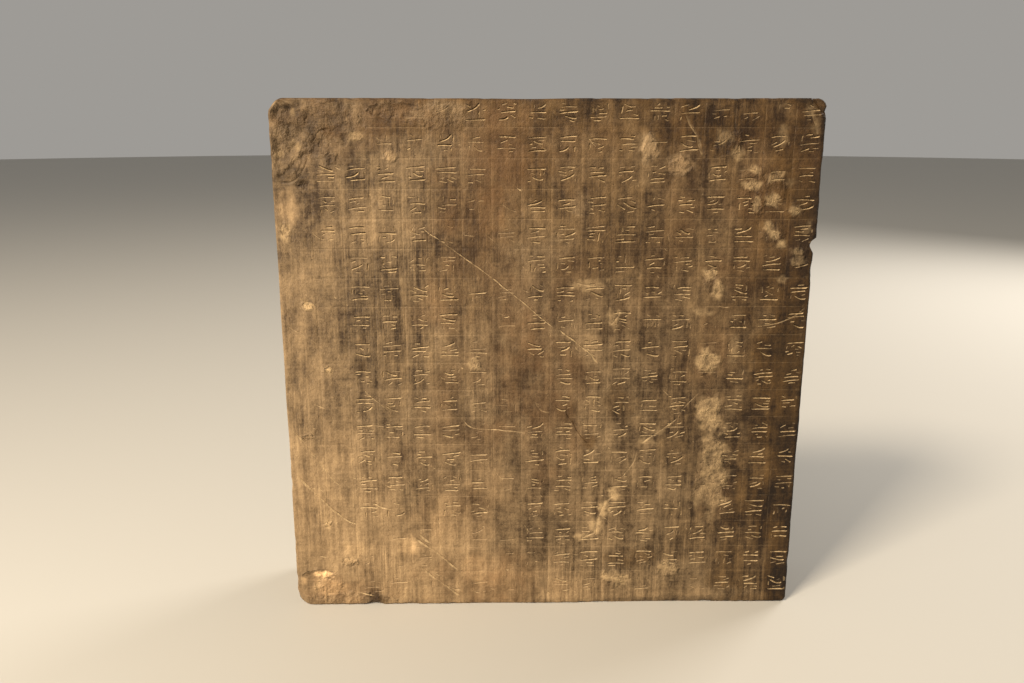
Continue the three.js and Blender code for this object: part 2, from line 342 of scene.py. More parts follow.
# ------------------------------------------------------------------ pieces lost at the edges
# Each: the place (x, y, z), the outward direction, the direction it runs in, its half
# length and half width, and its depth. y is -1 at the face and 1 at the back.
EDGE_BREAKS = (
    ((245, -0.78, 360), (1, -0.3, 0), (0, 0, 1), 6, 26, 3.4),
    ((-169, -1, 0), (0, -0.8, -0.6), (1, 0, 0), 8, 6, 3.6),
    ((238, -1, 480), (0.6, -0.7, 0.5), (0.6, 0, -0.8), 12, 5, 1.1),
    ((-245, -1, 28), (-0.7, -0.7, 0), (0, 0, 1), 9, 5, 2.2),
    ((-245, -1, 434), (-0.7, -0.7, 0), (0, 0, 1), 12, 5, 2.0),
    ((-150, -1, 489), (0, -0.7, 0.7), (1, 0, 0), 16, 5, 1.6),
    ((-238, -1, 6), (-0.5, -0.8, -0.3), (0.8, 0, -0.6), 18, 11, 1.8),
    ((-50, -1, 0), (0, -0.93, -0.35), (1, 0, 0), 44, 20, 1.4),
    ((112, -1, 3), (0, -0.93, -0.35), (1, 0, 0), 74, 12, 1.3),
    ((-238, -1, 488), (-0.4, -0.3, 0.85), (0.95, 0, 0.3), 22, 14, 1.6),
    ((-226, 1, 483), (-0.5, 0.6, 0.6), (1, 0, 0), 30, 22, 9.0),
    ((120, 1, 489), (0, 0.6, 0.8), (1, 0, 0), 36, 14, 6.0),
    ((245, 1, 210), (0.8, 0.6, 0), (0, 0, 1), 28, 13, 6.0),
    ((-245, 1, 96), (-0.8, 0.6, 0), (0, 0, 1), 24, 12, 5.0),
)

# ------------------------------------------------------------------ the back
MARGIN = 32.0
FURROW_SPACING = 19.0
FURROW_ANGLE = math.radians(62)
FURROW_HALF_LENGTH = 300.0
FURROW_HALF_WIDTH = 12.5
FURROW_DEPTH = 2.7

# ------------------------------------------------------------------ the stage
# Each light: its name, its place and its width in slab heights, and its colour.
LIGHTS = (
    ("key_light", (-2.9, -3.3, 4.8), 1.5, (1.0, 0.85, 0.65)),
    ("fill_light", (-2.1, -1.5, -0.1), 1.0, (1.0, 0.88, 0.72)),
    ("back_light", (4.2, 3.2, 2.6), 2.5, (1.0, 0.93, 0.84)),
)
SKY_COLOUR = (0.95, 0.91, 0.85, 1.0)
FLOOR_RADIUS = 12.0
FLOOR_SIDES = 96
# The camera's place in slab widths from the middle of the face's lower edge, and its turn.
CAMERA_PLACE = (-0.0909, -1.6491, 0.9607)
CAMERA_TILT = math.radians(90 - 13.92)
CAMERA_TURN = math.radians(-0.888)
CAMERA_REACH = 60.0


# ================================================================== settings
class SLAB_PG_sizes(bpy.types.PropertyGroup):
    """Sizes of the slab and of its carving."""

    width: bpy.props.FloatProperty(
        name="Width", description="Width of the face", default=HIGH.x - LOW.x, unit="LENGTH")
    height: bpy.props.FloatProperty(
        name="Height", description="Height of the face", default=HIGH.z - LOW.z, unit="LENGTH")
    thickness: bpy.props.FloatProperty(
        name="Thickness", description="From the face to the back",
        default=HIGH.y - LOW.y, unit="LENGTH")
    arris: bpy.props.FloatProperty(
        name="Arris", description="Radius of the worn edges", default=0.0018, unit="LENGTH")
    pitch: bpy.props.FloatProperty(
        name="Pitch", description="From one cell of the carving to the next",
        default=0.0268, unit="LENGTH")
    columns: bpy.props.IntProperty(
        name="Columns", description="Columns of carved cells", default=17, min=1, max=18)
    rows: bpy.props.IntProperty(
        name="Rows", description="Rows of carved cells", default=18, min=1, max=18)
    stroke_width: bpy.props.FloatProperty(
        name="Stroke width", description="Width of a carved stroke",
        default=0.0019, unit="LENGTH")
    stroke_depth: bpy.props.FloatProperty(
        name="Stroke depth", description="Depth of a carved stroke",
        default=0.0010, unit="LENGTH")
    rule_width: bpy.props.FloatProperty(
        name="Rule width", description="Width of a ruled line", default=0.0009, unit="LENGTH")
    rule_depth: bpy.props.FloatProperty(
        name="Rule depth", description="Depth of a ruled line", default=0.0002, unit="LENGTH")
    grain: bpy.props.FloatProperty(
        name="Grain", description="Distance between points of the smooth face",
        default=0.0036, unit="LENGTH")
    fine_grain: bpy.props.FloatProperty(
        name="Fine grain", description="Distance between points of its broken areas",
        default=0.0019, unit="LENGTH")


class SLAB_PG_colours(bpy.types.PropertyGroup):
    """Colours of the stone."""

    # Also painted as shade in the pits, in the deep broken ground and on the strokes' walls that look
    # down.
    deep: bpy.props.FloatVectorProperty(
        name="Deep stone", description="The darkest, rubbed stone",
        default=(0.034, 0.0186, 0.0072), subtype="COLOR", size=3)
    grey: bpy.props.FloatVectorProperty(
        name="Grey stone", description="The lighter, dusty stone",
        default=(0.322, 0.218, 0.114), subtype="COLOR", size=3)
    shade: bpy.props.FloatVectorProperty(
        name="Shade tint", description="Tint of the darkest areas",
        default=(1.0, 0.80, 0.46), subtype="COLOR", size=3)
    brown: bpy.props.FloatVectorProperty(
        name="Brown stain", description="Warm stains in the face",
        default=(0.215, 0.115, 0.044), subtype="COLOR", size=3)
    buff: bpy.props.FloatVectorProperty(
        name="Buff stone", description="Fresh stone in pits and flakes",
        default=(0.50, 0.347, 0.180), subtype="COLOR", size=3)
    # Partly pale bruised stone and dust, and partly painted light on the strokes' walls that look up.
    pale: bpy.props.FloatVectorProperty(
        name="Pale dust", description="Dust and bruised stone in the strokes",
        default=(0.60, 0.43, 0.232), subtype="COLOR", size=3)


class SLAB_PG_stage(bpy.types.PropertyGroup):
    """The floor, the lights and the camera."""

    floor: bpy.props.FloatVectorProperty(
        name="Floor", description="Colour of the floor",
        default=(0.47, 0.455, 0.42), subtype="COLOR", size=3)
    key_power: bpy.props.FloatProperty(
        name="Key light", description="Power of the light from the upper left",
        default=145.0, unit="POWER")
    fill_power: bpy.props.FloatProperty(
        name="Fill light", description="Power of the soft light from the left",
        default=9.5, unit="POWER")
    back_power: bpy.props.FloatProperty(
        name="Back light", description="Power of the soft light behind the slab",
        default=60.0, unit="POWER")
    sky: bpy.props.FloatProperty(
        name="Sky", description="Strength of the even light all round", default=0.36)
    lens: bpy.props.FloatProperty(
        name="Lens", description="Focal length of the camera in millimetres", default=31.49)


# ================================================================== numbers and noise
LATTICE = 64
SHELL_SEED = 100
# The height of a triangle of even sides, as a share of a side.
ROW_SHARE = 0.866
# How much of a long egg's width lies in the surface when its middle stands half its depth out.
EGG_RIM = math.sqrt(0.75)
SHARP_ANGLE = math.radians(24)
# Where the face's and the back's tones begin, from the middle of the thickness, and how softly.
FACE_FADE = (30.0, 8.0)
BACK_FADE = (36.0, 6.0)


def smooth(t):
    """3t^2 - 2t^3, held at 0 below 0 and at 1 above 1."""
    t = np.clip(t, 0.0, 1.0)
    return t * t * (3.0 - 2.0 * t)


def value_noise(u, v, seed):
    """Smooth random heights from 0 to 1 with features one unit across: a square lattice of
    random numbers, blended between its corners by the fade 6t^5 - 15t^4 + 10t^3."""
    table = np.random.default_rng(seed).random((LATTICE, LATTICE))
    i = np.floor(u).astype(int)
    j = np.floor(v).astype(int)
    s = u - i
    t = v - j
    s = s * s * s * (s * (s * 6.0 - 15.0) + 10.0)
    t = t * t * t * (t * (t * 6.0 - 15.0) + 10.0)
    low = table[i % LATTICE, j % LATTICE] * (1 - s) + table[(i + 1) % LATTICE, j % LATTICE] * s
    j = j + 1
    high = table[i % LATTICE, j % LATTICE] * (1 - s) + table[(i + 1) % LATTICE, j % LATTICE] * s
    return low * (1 - t) + high * t


def fractal(u, v, size, seed, octaves):
    """Noise from about -1 to 1: value noises, each half the size and height of the last."""
    total = np.zeros(np.broadcast(u, v).shape)
    reach = 0.0
    for octave in range(octaves):
        scale = 2.0 ** octave / size
        height = 0.5 ** octave
        total += height * (2.0 * value_noise(u * scale + 7.3 * octave, v * scale, seed + octave) - 1.0)
        reach += height
    return total / (0.62 * reach)


def patch(x, z, area, ragged=0.3, softness=0.5, seed=5):
    """1 inside an ellipse and 0 outside: its radius is made ragged by noise, and the edge is
    a smooth step."""
    cx, cz, rx, rz = area[:4]
    radius = np.hypot((x - cx) / rx, (z - cz) / rz)
    size = max(4.0, 0.7 * min(rx, rz))
    radius = radius + ragged * fractal(x, z, size, seed, 3)
    return 1.0 - smooth((radius - 1.0 + softness / 2) / softness)


def patches(x, z, areas, **kind):
    """The largest of several patches, each times its amount."""
    total = np.zeros(x.shape)
    for area in areas:
        total = np.maximum(total, area[4] * patch(x, z, area, **kind))
    return total


def whole(areas):
    """The areas with an amount of 1."""
    return [(*area[:4], 1.0) for area in areas]


# ================================================================== the outline
def worn_edge(start, end, inward, phase, step=2.0):
    """A straight edge that dips inward by w (0.5 + 0.5 sin(9s + phase) cos 23s) sin^2(pi s),
    where w is EDGE_WANDER."""
    start, end, inward = (np.array(p, float) for p in (start, end, inward))
    count = int(np.hypot(*(end - start)) / step)
    s = np.linspace(0.0, 1.0, count)[:, None]
    dip = EDGE_WANDER * (0.5 + 0.5 * np.sin(9 * s + phase) * np.cos(23 * s))
    return start + (end - start) * s + inward * dip * np.sin(np.pi * s) ** 2


def quarter(x, z, radius, start):
    """Points of a quarter round, from one angle in degrees, leaving out its ends."""
    angle = np.radians(start + np.linspace(0, 90, 7)[1:-1])
    return np.stack([x + radius * np.cos(angle), z + radius * np.sin(angle)], 1)


def outline(width, height, spacing):
    """The slab's outline from the front, anticlockwise from the lower left, at even steps."""
    half = width / 2
    right = half - RIGHT_SET_BACK
    r0, r1, r2 = LOWER_LEFT_RADIUS, LOWER_RIGHT_RADIUS, UPPER_RIGHT_RADIUS
    across, down = UPPER_LEFT_CUT
    low, high = RIGHT_STEP
    path = np.concatenate([
        [(-half + r0, 0.0), (right - r1, 0.0)],
        quarter(right - r1, r1, r1, 270),
        worn_edge((right, r1), (right, low), (-1, 0), 0.4),
        worn_edge((half, high), (half, height - r2), (-1, 0), 2.1),
        quarter(half - r2, height - r2, r2, 0),
        worn_edge((half - r2, height), (-half + across, height), (0, -1), 3.3),
        worn_edge((-half, height - down), (-half, r0), (1, 0), 5.2),
        quarter(-half + r0, r0, r0, 180),
        [(-half + r0, 0.0)],
    ])
    run = np.concatenate([[0.0], np.cumsum(np.hypot(*np.diff(path, axis=0).T))])
    at = np.linspace(0.0, run[-1], int(run[-1] / spacing) + 1)[:-1]
    return np.stack([np.interp(at, run, path[:, 0]), np.interp(at, run, path[:, 1])], 1)


def inward_normals(ring):
    """Unit vectors square to the outline, pointing into the slab."""
    along = np.roll(ring, -1, axis=0) - np.roll(ring, 1, axis=0)
    along /= np.hypot(along[:, 0], along[:, 1])[:, None]
    return np.stack([-along[:, 1], along[:, 0]], 1)


# ================================================================== the carved lines
def stretches(clear):
    """The runs of two or more neighbours, as indices, where clear holds."""
    cuts = np.flatnonzero(np.diff(clear.astype(int))) + 1
    runs = np.split(np.arange(len(clear)), cuts)
    return [run for run in runs if clear[run[0]] and len(run) > 1]


class Groove:
    """A V-shaped line: a path with a half width, a depth and a paleness at each point."""

    def __init__(self, path, half_width, depth, pale):
        self.path = np.array(path, float)
        ones = np.ones(len(self.path))
        self.half_width = ones * half_width
        self.depth = ones * depth
        self.pale = ones * pale

    def parts(self, clear):
        """The stretches of the groove whose points are clear, each as a groove."""
        return [Groove(self.path[run], self.half_width[run], self.depth[run], self.pale[run])
                for run in stretches(clear)]

    def sides(self):
        """The two rims: the path moved square to itself by the half width."""
        along = np.gradient(self.path, axis=0)
        along /= np.maximum(np.hypot(along[:, 0], along[:, 1]), 1e-9)[:, None]
        square = np.stack([-along[:, 1], along[:, 0]], 1) * self.half_width[:, None]
        return self.path + square, self.path - square

    def at(self, points):
        """Depth and paleness at points near the path: both fall in a straight line from the
        path to its rim."""
        start = self.path[:-1]
        along = self.path[1:] - start
        length = np.maximum((along ** 2).sum(1), 1e-9)
        off = points[:, None, :] - start[None]
        t = np.clip((off * along[None]).sum(2) / length[None], 0.0, 1.0)
        gap = np.hypot(*np.moveaxis(off - t[..., None] * along[None], 2, 0))
        near = gap.argmin(1)
        row = np.arange(len(points))
        place = near + t[row, near]
        stations = np.arange(len(self.path))
        half = np.maximum(np.interp(place, stations, self.half_width), 1e-6)
        inside = np.clip(1.0 - gap[row, near] / half, 0.0, 1.0)
        depth = np.interp(place, stations, self.depth) * inside
        return depth, np.interp(place, stations, self.pale) * (inside > 0.0)


def curve(points, step):
    """A smooth path through points (a Catmull-Rom curve), with a point about every step."""
    points = np.array(points, float)
    padded = np.concatenate([[2 * points[0] - points[1]], points, [2 * points[-1] - points[-2]]])
    pieces = []
    for before, start, end, after in zip(padded, padded[1:], padded[2:], padded[3:]):
        count = max(2, int(np.hypot(*(end - start)) / step))
        t = np.arange(count)[:, None] / count
        pieces.append(0.5 * (2 * start + (end - before) * t
                             + (2 * before - 5 * start + 4 * end - after) * t ** 2
                             + (3 * start - before - 3 * end + after) * t ** 3))
    return np.concatenate([*pieces, points[-1:]])


def stroke(middle, length, slope, bow, width, depth, pale, flick):
    """One carved stroke: an arc of the given length and slope, bowed by bow at its middle,
    with a raised tail of height flick. Its width swells towards the tail and ends in points."""
    s = np.array([-1.0, -0.86, -0.3, 0.3, 0.82, 1.0])
    swell = np.array([0.12, 0.75, 0.8, 0.9, 1.0, 0.12])
    along = s * length / 2
    lift = bow * (1 - s ** 2) + flick * np.maximum(s - 0.3, 0.0) ** 2 / 0.49
    turn = np.array([[math.cos(slope), math.sin(slope)], [-math.sin(slope), math.cos(slope)]])
    path = np.array(middle) + np.stack([along, lift], 1) @ turn
    return Groove(path, swell * width / 2, swell * depth, pale)


def stroke_kinds(random, half):
    """The strokes to try in one cell, longest first: their length, slope, bow, weight, flick
    and how far from the middle they may lie. Most are level; the others lean or stand."""
    plan = []
    for _ in range(int(random.integers(1, 3))):
        plan.append((half * random.uniform(1.5, 2.1), random.uniform(-0.04, 0.12),
                     random.uniform(0.0, 0.7), 1.2, 0.0))
    if random.random() < 0.6:
        side = random.choice([-1, 1])
        plan.append((half * random.uniform(1.0, 1.7), -side * random.uniform(0.2, 0.55),
                     -random.uniform(0.3, 1.2), 1.4, random.uniform(0.2, 1.2)))
    if random.random() < 0.6:
        plan.append((half * random.uniform(0.5, 0.9), math.pi / 2 + random.uniform(-0.15, 0.15),
                     random.uniform(-0.4, 0.4), 1.0, 0.0))
    for _ in range(int(random.integers(6, 12))):
        slope = random.choice([0.0, 0.1, -0.1, 0.4, -0.4, math.pi / 2])
        reach = 1.0 if abs(slope) < 0.5 else 0.55
        plan.append((half * random.uniform(0.3, reach), slope + random.uniform(-0.2, 0.2),
                     random.uniform(-0.3, 0.3), 0.95, 0.0))
    return plan


def cell_strokes(random, x, z, wear, width, depth):
    """The strokes of one cell: each is tried in several places and carved at the first that
    keeps it clear of the others, so that no strokes touch and no cell spells anything. Wear
    drops some strokes and makes the others shallow."""
    half = CELL_HALF * random.uniform(0.92, 1.04)
    taken = np.full((1, 2), 1e3)
    made = []
    for length, slope, bow, weight, flick in stroke_kinds(random, half):
        room_x = max(0.6, half - abs(math.cos(slope)) * length / 2)
        room_z = max(0.6, 0.88 * half - abs(math.sin(slope)) * length / 2)
        strength = weight * random.uniform(0.5, 1.15) * (1.0 - 0.7 * wear)
        kept = random.random() > 0.7 * wear
        for _ in range(STROKE_TRIES):
            place = (x + random.uniform(-room_x, room_x), z + random.uniform(-room_z, room_z))
            tried = stroke(place, length, slope, bow, width * (0.65 + 0.35 * strength),
                           depth * strength, min(1.0, 0.9 * strength), flick)
            path = curve(tried.path, 1.2)
            if np.hypot(*(path[:, None] - taken[None]).T).min() > STROKE_GAP:
                taken = np.concatenate([taken, path])
                if kept:
                    made.append(tried)
                break
    return made


def carved_cells(sizes):
    """Every cell's strokes, thinned out where the face is worn. The leftmost text column
    holds only four cells near its top."""
    random = np.random.default_rng(41)
    width, depth, pitch = sizes.stroke_width / MM, sizes.stroke_depth / MM, sizes.pitch / MM
    first_x = sizes.width / MM / 2 - FIRST_CELL[0]
    first_z = sizes.height / MM - FIRST_CELL[1]
    made = []
    for column in range(sizes.columns):
        for row in range(sizes.rows):
            x = first_x - column * (pitch + COLUMN_EXTRA)
            z = first_z - row * pitch
            at = (np.array([x]), np.array([z]))
            wear = float(patches(*at, WORN)[0])
            lost = float(patches(*at, whole(BROKEN))[0])
            short = column == SHORT_COLUMN and row not in SHORT_COLUMN_ROWS
            drawn = random.random()
            strokes = cell_strokes(random, x, z, min(1.0, wear + 0.7 * lost), width, depth)
            if short or drawn < 0.5 * wear:
                continue
            made += strokes
    return made


def ruled_line(run, middle, line, upright, sizes):
    """One line of the grid, from its places along the face and its middle across it. It
    wavers by a third of a millimetre, and noise makes its depth come and go."""
    seed, usual, swing, least = (11, 0.75, 0.6, 0.1) if upright else (13, 0.55, 0.7, 0.05)
    across = middle + 0.35 * fractal(run, run * 0 + line, 90.0, seed, 2)
    comes = fractal(run, run * 0 + 3.1 * line, 40.0, seed + 1, 3)
    strength = np.clip(usual + swing * comes, least, 1.0)
    return Groove(np.stack([across, run] if upright else [run, across], 1),
                  sizes.rule_width / MM / 2 * (0.5 + 0.5 * strength),
                  sizes.rule_depth / MM * strength, 0.16 * strength)


def ruled_lines(sizes):
    """The carver's grid: shallow lines between the cells, upright and level by turns."""
    pitch, width, height = sizes.pitch / MM, sizes.width / MM, sizes.height / MM
    up = np.linspace(3.5, height - 4, 90)
    along = np.linspace(-width / 2 + 30, width / 2 - 4.5, 84)
    made = []
    for line in range(RULES):
        x = width / 2 - FIRST_RULE[0] - line * (pitch + COLUMN_EXTRA)
        z = height - FIRST_RULE[1] - line * pitch
        made.append(ruled_line(up, x, line, True, sizes))
        made.append(ruled_line(along, z, line, False, sizes))
    return made


def nicks():
    """Short scratches at random, most of them near the lower left, none near the edges."""
    random = np.random.default_rng(91)
    made = []
    for _ in range(NICKS):
        x = -225 + 440 * random.random() ** 1.5
        z = 12 + 450 * random.random() ** 1.4
        turn = random.normal(-0.7, 0.5)
        reach = 1.5 + 4.5 * random.random() ** 2
        step = reach * np.array([math.cos(turn), math.sin(turn)])
        path = np.array([[x, z]]) + np.array([[-1.0], [0.1], [1.0]]) * step
        width = random.uniform(0.5, 0.95)
        made.append(Groove(path, [0.1, width, 0.1], [0.05, 0.55 * width, 0.05],
                           random.uniform(0.4, 1.0)))
    return made


def long_lines():
    """The scratches, veins and nicks, whose width and depth come and go, and the cracks."""
    made = []
    for seed, (points, half, depth, pale) in enumerate((*SCRATCHES, *VEINS)):
        path = curve(points, 3.2)
        run = np.concatenate([[0.0], np.cumsum(np.hypot(*np.diff(path, axis=0).T))])
        sway = fractal(run, run * 0 + seed, 9.0, 21, 3)
        path[:, 1] += 0.5 * sway
        strength = np.clip(0.85 + 0.45 * fractal(run, run * 0 + seed, 12.0, 22, 3), 0.25, 1.3)
        strength[[0, -1]] *= 0.2
        made.append(Groove(path, half * strength, depth * strength, pale * np.minimum(1, strength)))
    made += nicks()
    for points, half, depth in CRACKS:
        path = curve(points, 2.5)
        ends = np.minimum(1.0, np.minimum(np.arange(len(path)), np.arange(len(path))[::-1]) / 3 + 0.2)
        made.append(Groove(path, half * ends, depth * ends, 0.0))
    return made


# ================================================================== losses on the face
def shell_reach(x, z, loss, seed):
    """How far out in a shell a point lies: 0 at the middle and 1 at a rim whose radius swings
    by a sixth with the angle."""
    cx, cz, across, high = loss[:4]
    u = (x - cx) / across
    v = (z - cz) / high
    angle = np.arctan2(v, u)
    rim = 1.0 + 0.17 * fractal(2.2 * np.cos(angle) + 9, 2.2 * np.sin(angle) + 9, 1.0, seed, 2)
    return np.hypot(u, v) / rim


def shell_rim(loss, seed, at):
    """Points round a shell at a share of its reach, about every 2 mm."""
    cx, cz, across, high = loss[:4]
    count = max(8, int(2 * math.pi * max(across, high) / 2.2))
    angle = np.linspace(0, 2 * math.pi, count, endpoint=False)
    u, v = np.cos(angle), np.sin(angle)
    swing = 1.0 / shell_reach(cx + u * across, cz + v * high, loss, seed)
    return np.stack([cx + u * across * swing * at, cz + v * high * swing * at], 1)


def pits(sizes):
    """Small bowls: x, z, radius and depth. Few over the sound face, crowded and larger in
    the pitted run and the other broken areas."""
    random = np.random.default_rng(57)
    width, height = sizes.width / MM, sizes.height / MM
    x = random.uniform(-width / 2 + 7, width / 2 - 9, PIT_TRIES)
    z = random.uniform(7, height - 8, PIT_TRIES)
    crowd = np.maximum(patches(x, z, [(*b[:4], b[5]) for b in BROKEN]), 0.02)
    kept = random.random(PIT_TRIES) < 0.62 * crowd
    x, z, crowd = x[kept], z[kept], crowd[kept]
    radius = 0.7 + (0.4 + 1.5 * crowd) * random.random(len(x)) ** 2
    depth = radius * random.uniform(0.35, 0.75, len(x))
    chosen = []
    for i in np.argsort(-radius):
        if all(math.hypot(x[i] - x[j], z[i] - z[j]) > radius[i] + radius[j] + 0.5 for j in chosen):
            chosen.append(i)
    return np.stack([x, z, radius, depth], 1)[chosen]


def from_edge(x, z, sizes):
    """Distance to the nearest side of the face's rectangle."""
    half, height = sizes.width / MM / 2, sizes.height / MM
    right = np.where(z < RIGHT_STEP[1], half - RIGHT_SET_BACK, half)
    across, down = UPPER_LEFT_CUT
    cut = ((x + half) / across + (height - z) / down - 1.0) * across * 0.8
    sides = np.minimum(np.minimum(x + half, right - x), np.minimum(z, height - z))
    return np.minimum(sides, cut)


# ================================================================== triangulating the face
class Sketch:
    """Points and fixed lines laid out on a face before it is cut into triangles."""

    def __init__(self, ring):
        self.points = [ring]
        self.lines = []
        self.count = len(ring)
        self.fix(np.arange(len(ring)), True)

    def fix(self, index, closed):
        """Keeps the edges from each point to the next, and from the last to the first."""
        follow = np.roll(index, -1)
        pairs = np.stack([index, follow], 1)
        self.lines.append(pairs if closed else pairs[:-1])

    def line(self, path, closed=False):
        index = np.arange(len(path)) + self.count
        self.points.append(path)
        self.count += len(path)
        self.fix(index, closed)

    def scatter(self, points):
        self.points.append(points)
        self.count += len(points)

    def triangles(self):
        """A Delaunay triangulation that keeps every fixed line. Returns its points, the
        outline point that each one stands for (-1 for none) and the triangles."""
        points = np.concatenate(self.points)
        lines = np.concatenate(self.lines)
        vectors = [Vector(p) for p in points.tolist()]
        made = delaunay_2d_cdt(vectors, lines.tolist(), [], 1, 1e-3)
        places = np.array([tuple(p) for p in made[0]])
        sources = np.array([min(s) if s else self.count for s in made[3]])
        on_ring = np.where(sources < len(self.points[0]), sources, -1)
        return places, on_ring, np.array([tuple(f) for f in made[2]])


def jittered(width, height, step, jitter, seed):
    """Points of a triangular grid, each moved a little at random."""
    random = np.random.default_rng(seed)
    x = np.arange(-width / 2, width / 2, step)
    z = np.arange(0.0, height, step * ROW_SHARE)
    grid_x, grid_z = np.meshgrid(x, z)
    grid_x = grid_x + (np.arange(len(z)) % 2)[:, None] * step / 2
    grid = np.stack([grid_x.ravel(), grid_z.ravel()], 1)
    return grid + random.uniform(-jitter, jitter, grid.shape) * step


def inside_parts(path, sizes, margin):
    """The stretches of a path that keep a margin from the edge, as separate paths."""
    return [path[run] for run in stretches(from_edge(path[:, 0], path[:, 1], sizes) > margin)]


class Face:
    """The carved face: where its points lie, and how deep and how pale each place is."""

    def __init__(self, sizes):
        self.sizes = sizes
        self.grooves = carved_cells(sizes) + long_lines()
        self.rules = []
        for rule in ruled_lines(sizes):
            self.rules += rule.parts(self.broken(*rule.path.T) < 0.2)
        self.pits = pits(sizes)

    def sketch(self, ring):
        """Lays out the rims and middles of every line, shell and pit, then fills the rest
        with two grids of points: a fine one in broken areas and a coarse one elsewhere."""
        sizes = self.sizes
        made = Sketch(ring)
        for groove in self.rules + self.grooves:
            for path in (*groove.sides(), groove.path):
                for part in inside_parts(path, sizes, LINE_CLEARANCE):
                    made.line(part)
        for seed, loss in enumerate(SHELLS):
            for share in (1.0, 0.9):
                rim = shell_rim(loss, SHELL_SEED + seed, share)
                rim = np.concatenate([rim, rim[:1]])
                for part in inside_parts(rim, sizes, LINE_CLEARANCE):
                    made.line(part)
        turn = np.linspace(0, 2 * math.pi, 6, endpoint=False)
        for x, z, radius, _ in self.pits:
            made.line(np.stack([x + radius * np.cos(turn), z + radius * np.sin(turn)], 1), True)
        made.scatter(self.pits[:, :2])
        width, height = sizes.width / MM, sizes.height / MM
        for step, rough, seed in ((sizes.grain / MM, False, 61), (sizes.fine_grain / MM, True, 62)):
            grid = jittered(width, height, step, 0.22, seed)
            broken = self.broken(grid[:, 0], grid[:, 1]) > 0.35
            clear = from_edge(grid[:, 0], grid[:, 1], sizes) > GRID_CLEARANCE
            made.scatter(grid[clear & (broken == rough)])
        return made

    def broken(self, x, z):
        """How broken the face is, from 0 to 1."""
        shells = [(s[0], s[1], 0.8 * s[2], 0.8 * s[3], 1.0) for s in SHELLS]
        return patches(x, z, whole(BROKEN) + shells, ragged=0.35)

    def lines_at(self, x, z):
        """Depth and paleness of the carved and scratched lines: each place takes the deepest."""
        points = np.stack([x, z], 1)
        order = np.argsort(x)
        ordered = points[order]
        depth = np.zeros(len(x))
        pale = np.zeros(len(x))
        for groove in self.grooves + self.rules:
            reach = groove.half_width.max() + 0.01
            low = groove.path.min(0) - reach
            high = groove.path.max(0) + reach
            first, last = np.searchsorted(ordered[:, 0], (low[0], high[0]))
            near = np.arange(first, last)
            near = near[(ordered[near, 1] > low[1]) & (ordered[near, 1] < high[1])]
            if len(near) == 0:
                continue
            deep, light = groove.at(ordered[near])
            depth[near] = np.maximum(depth[near], deep)
            pale[near] = np.maximum(pale[near], light)
        back = np.empty(len(x), int)
        back[order] = np.arange(len(x))
        return depth[back], pale[back]

    def ground(self, x, z):
        """Depth of the broken areas: lumps, with creases where a slow noise crosses zero."""
        folds = 1.0 - np.minimum(1.0, 1.6 * np.abs(fractal(x, z, 24.0, 36, 4)))
        lumps = np.maximum(0.55 + 0.75 * fractal(x, z, 10.0, 33, 4) + 0.6 * folds ** 2, 0.0)
        depth = np.zeros(x.shape)
        for area in BROKEN:
            depth = np.maximum(depth, area[4] * patch(x, z, area, 0.35, 0.3) * lumps)
        return depth

    def depth(self, x, z):
        """How far the face lies behind the slab's front plane: the slow waviness of hand
        dressing, the lines, the shells, the broken ground and the pits. It is 0 at the edge."""
        worn = patches(x, z, LIGHT, ragged=0.5, softness=1.7)
        sway = 0.3 + 0.2 * fractal(x, z, 110.0, 31, 3)
        sway = sway + (0.14 + 0.42 * worn) * fractal(x, z, 12.0, 32, 3)
        lines, _ = self.lines_at(x, z)
        losses = self.ground(x, z)
        for seed, loss in enumerate(SHELLS):
            reach = shell_reach(x, z, loss, SHELL_SEED + seed)
            floor = np.sqrt(np.clip(1.0 - reach ** 2, 0.0, 1.0)) * loss[4]
            ripple = 1.0 + 0.5 * loss[5] * fractal(x, z, 4.0, 35, 3)
            losses = np.maximum(losses, np.where(reach < 1.0, floor * ripple, 0.0))
        for cx, cz, radius, deep in self.pits:
            reach = np.hypot(x - cx, z - cz) / radius
            losses += np.where(reach < 0.98, deep * (1.0 - reach), 0.0)
        near_edge = smooth((from_edge(x, z, self.sizes) - 2.0) / 5.0)
        return np.maximum(sway, 0.0) * near_edge + (lines + losses) * near_edge


# ================================================================== the back and the sides
def furrows(x, z, width, height):
    """Depth of the point chisel's furrows: side by side, each the lower part of a long egg
    that stands outside the surface, cut off square at the flat margin."""
    long = np.array([math.cos(FURROW_ANGLE), math.sin(FURROW_ANGLE)])
    across = np.array([-long[1], long[0]])
    reach = (width * abs(across[0]) + height * abs(across[1])) / 2 - MARGIN
    depth = np.zeros(x.shape)
    for i in range(int(2 * reach / FURROW_SPACING)):
        offset = (i + 0.5) * FURROW_SPACING - reach
        slide = 40 * math.sin(2.4 * i)
        deep = FURROW_DEPTH * (0.8 + 0.2 * math.cos(1.7 * i))
        u = (x * long[0] + (z - height / 2) * long[1] - slide) / (FURROW_HALF_LENGTH / EGG_RIM)
        wobble = 1.2 * fractal(u * 20, u * 0 + i, 1.0, 43, 2)
        v = x * across[0] + (z - height / 2) * across[1] - offset + wobble
        v = v / (FURROW_HALF_WIDTH / EGG_RIM)
        below = 2 * deep * np.sqrt(np.clip(1 - u ** 2 - v ** 2, 0, 1)) - deep
        beat = 1.0 + 0.25 * fractal(x, z, 7.0, 44, 3)
        depth = np.maximum(depth, below * beat)
    panel = np.minimum(width / 2 - MARGIN - np.abs(x), height / 2 - MARGIN - np.abs(z - height / 2))
    ragged = panel + 1.5 * fractal(x, z, 20.0, 45, 2)
    return depth * smooth(ragged / 3.0)


def side_tooling(run, y, seed):
    """Depth of the flat chisel's marks on the sides: slanting, shallow facets, with noise."""
    slant = run + 0.55 * y + 2.0 * fractal(run, y, 60.0, seed, 2)
    saw = np.abs((slant / 13.0) % 1.0 - 0.35)
    return 0.2 + 1.1 * saw + 0.3 * fractal(run, y, 26.0, seed + 3, 4)


